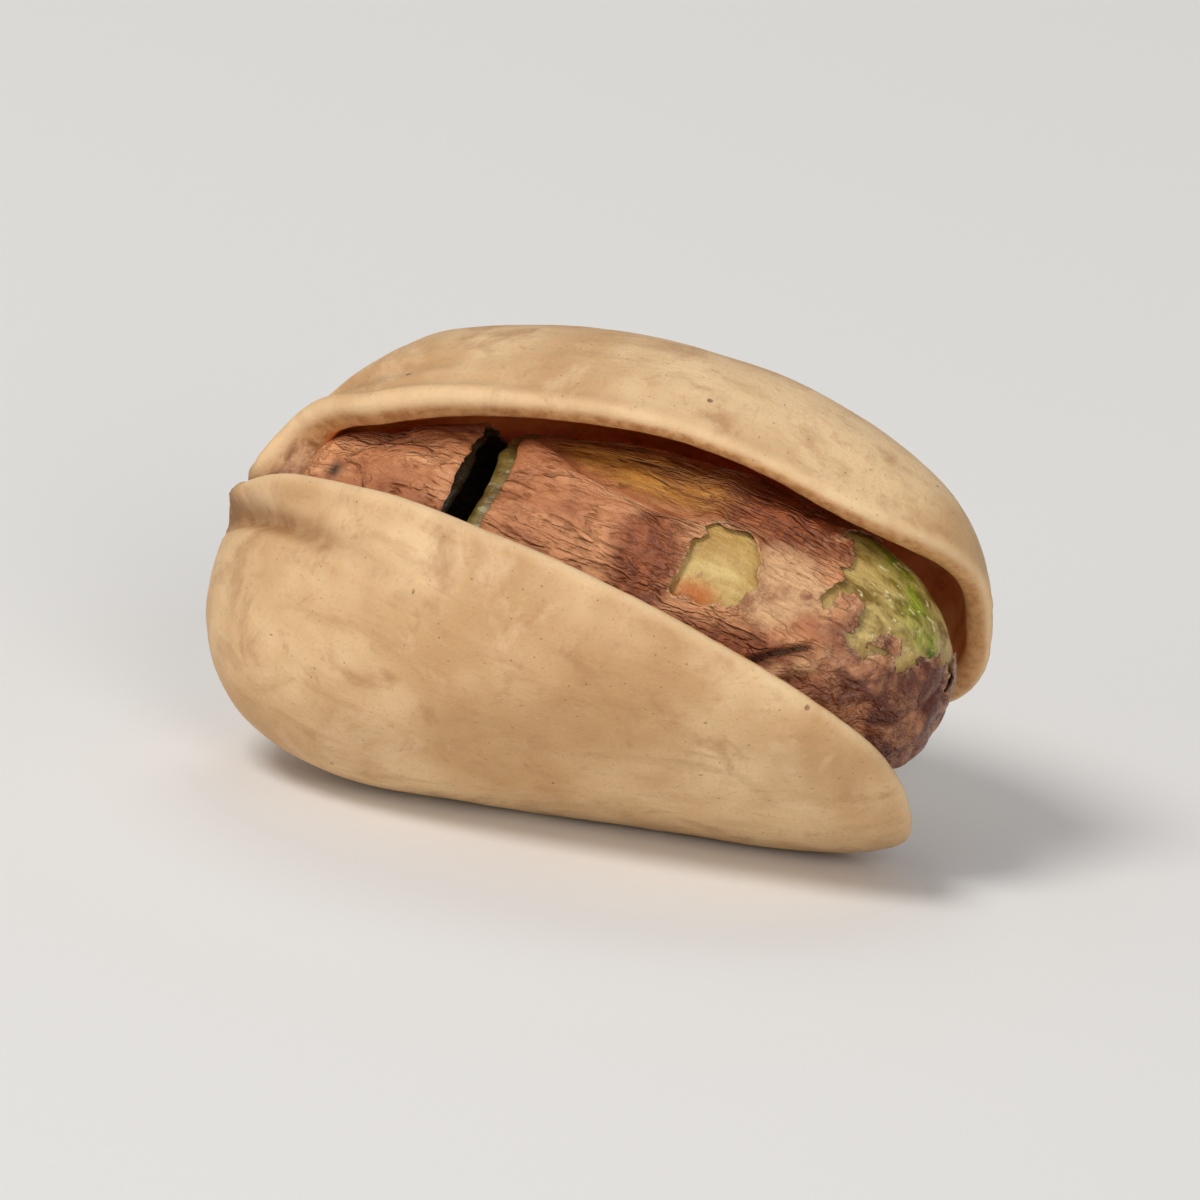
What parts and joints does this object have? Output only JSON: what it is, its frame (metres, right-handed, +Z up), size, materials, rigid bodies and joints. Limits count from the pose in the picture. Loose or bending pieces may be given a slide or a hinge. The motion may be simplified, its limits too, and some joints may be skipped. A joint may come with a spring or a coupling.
{
  "type": "pistachio in shell",
  "caption": "Roasted pistachio nut lying in its split shell, the mouth gaping to show the snapped kernel in its torn papery skin.",
  "frame": {"origin": "at the middle of the bounding box in plan, on the surface the nut lies on", "axes": "+X along the nut towards its open tip, +Z up, the mouth facing up and towards -Y"},
  "size_m": [0.0204, 0.0132, 0.0124],
  "materials": {
    "shell_tan": "dry, smooth and matt, like raw hardwood",
    "kernel_green": "oily seed flesh with a soft sheen",
    "skin_brown": "dry wrinkled papery skin"
  },
  "bodies": {
    "root": {"shell": "shell_tan", "kernel": "kernel_green", "kernel_stem_piece": "kernel_green", "skin": "skin_brown", "skin_stem_piece": "skin_brown"}
  },
  "joints": []
}
